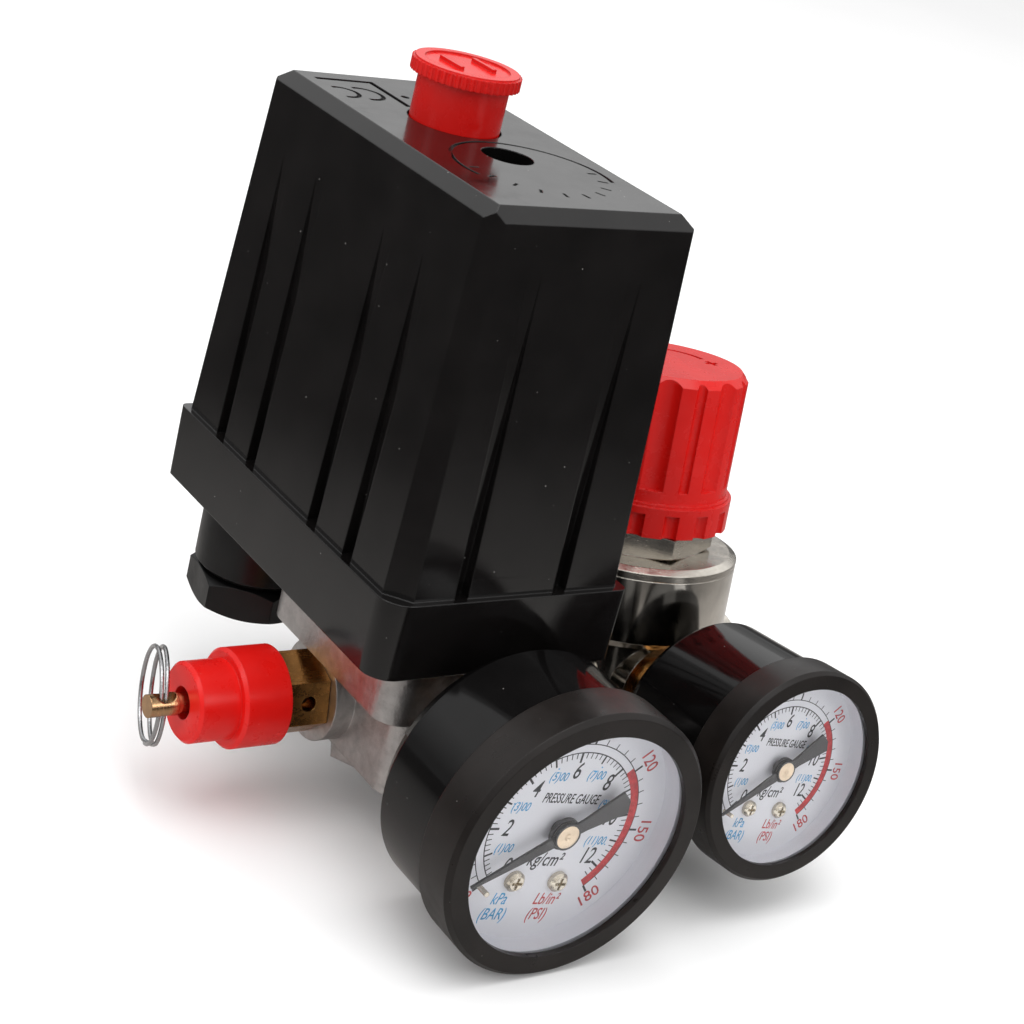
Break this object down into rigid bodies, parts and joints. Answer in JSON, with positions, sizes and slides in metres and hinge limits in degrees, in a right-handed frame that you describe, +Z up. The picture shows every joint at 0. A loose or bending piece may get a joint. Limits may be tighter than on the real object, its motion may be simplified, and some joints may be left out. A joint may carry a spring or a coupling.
{
  "type": "pressure switch",
  "caption": "Air-compressor pressure switch: drafted black cover on a cast manifold with a pull-ring relief valve, tank gauge, knob regulator and outlet gauge.",
  "frame": {"origin": "centre of the tank port's mouth on the underside of the manifold", "axes": "+Z up out of the manifold into the cover, -Y towards the gauge faces, +X towards the regulator, -X towards the relief valve"},
  "size_m": [0.1308, 0.1153, 0.1353],
  "materials": {
    "abs_black": "glossy moulded",
    "abs_red": "moulded satin gloss",
    "nylon_black": "fine moulded",
    "rubber": "moulded",
    "steel": "zinc plated",
    "ring_steel": "drawn wire",
    "spring_steel": "oiled wire",
    "cast_aluminium": "die cast, shot blasted",
    "phenolic": "moulded",
    "copper": "stamped copper",
    "brass": "turned",
    "nickel": "polished nickel plate",
    "case_black": "gloss black",
    "bezel_black": "satin black",
    "lens": "clear",
    "dial_white": "matt white",
    "pointer_grey": "matt dark grey"
  },
  "bodies": {
    "housing": {"cover": "abs_black", "cover_screw": "steel", "base_plate": "nylon_black", "gland_nuts": "nylon_black", "gland_seals": "rubber", "base_screws": "steel", "manifold": "cast_aluminium", "diaphragm": "rubber", "pressure_piston": "steel", "frame_bracket": "steel", "lever_pin": "steel", "main_spring": "spring_steel", "spring_cup": "steel", "adjust_bolt": "steel", "contact_block": "phenolic", "fixed_contacts": "copper", "terminal_screws": "steel", "earth_screws": "steel", "valve_body": "brass", "valve_cap": "abs_red", "valve_spring": "spring_steel", "gauge1_case": "case_black", "gauge1_bezel": "bezel_black", "gauge1_lens": "lens", "gauge1_dial": "dial_white", "gauge1_dial_screws": "nickel", "gauge1_socket": "brass", "gauge1_tube": "brass", "hex_nipple": "nickel", "reg_body": "nickel", "reg_bonnet": "nickel", "reg_spring": "spring_steel", "reg_spring_plate": "steel", "reg_diaphragm": "rubber", "reg_poppet": "brass", "reg_plug": "brass", "gauge2_case": "case_black", "gauge2_bezel": "bezel_black", "gauge2_lens": "lens", "gauge2_dial": "dial_white", "gauge2_dial_screws": "nickel", "gauge2_socket": "brass", "gauge2_tube": "brass"},
    "on_off": {"on_off_knob": "abs_red"},
    "lever": {"lever": "steel", "moving_contact": "copper"},
    "relief_stem": {"valve_stem": "brass", "valve_poppet": "rubber"},
    "pull_ring": {"pull_ring": "ring_steel"},
    "needle1": {"gauge1_pointer": "pointer_grey"},
    "needle2": {"gauge2_pointer": "pointer_grey"},
    "spindle": {"reg_spindle": "steel"},
    "reg_knob": {"reg_knob": "abs_red"}
  },
  "joints": [
    {"name": "on_off_slide", "type": "slide", "parent": "housing", "child": "on_off", "axis": [0, 0, 1], "range_m": [-0.006, 0]},
    {"name": "lever_tilt", "type": "hinge", "parent": "housing", "child": "lever", "pos_m": [0, 0.014, 0.046], "axis": [1, 0, 0], "range_deg": [-3.5, 0], "stiffness_Nm_per_rad": 1, "deforming": ["main_spring"]},
    {"name": "relief_pull", "type": "slide", "parent": "housing", "child": "relief_stem", "axis": [-1, 0, 0], "range_m": [0, 0.003], "stiffness_N_per_m": 800, "deforming": ["valve_spring"]},
    {"name": "ring_swing", "type": "hinge", "parent": "relief_stem", "child": "pull_ring", "pos_m": [-0.0469, 0.0035, 0.013], "axis": [0, 0, 1], "range_deg": [-5, 205]},
    {"name": "needle1_turn", "type": "hinge", "parent": "housing", "child": "needle1", "pos_m": [0, -0.0593, 0.0175], "axis": [0, 1, 0], "range_deg": [0, 258]},
    {"name": "needle2_turn", "type": "hinge", "parent": "housing", "child": "needle2", "pos_m": [0.0534, -0.05341, 0.02049], "axis": [0, 0.9914, -0.1305], "range_deg": [0, 258]},
    {"name": "reg_turn", "type": "hinge", "parent": "housing", "child": "spindle", "pos_m": [0.0534, 0.0035, 0.013], "axis": [0, 0.1305, 0.9914], "range_deg": [-720, 720]},
    {"name": "reg_unlock", "type": "slide", "parent": "spindle", "child": "reg_knob", "axis": [0, 0.1305, 0.9914], "range_m": [0, 0.004]}
  ]
}
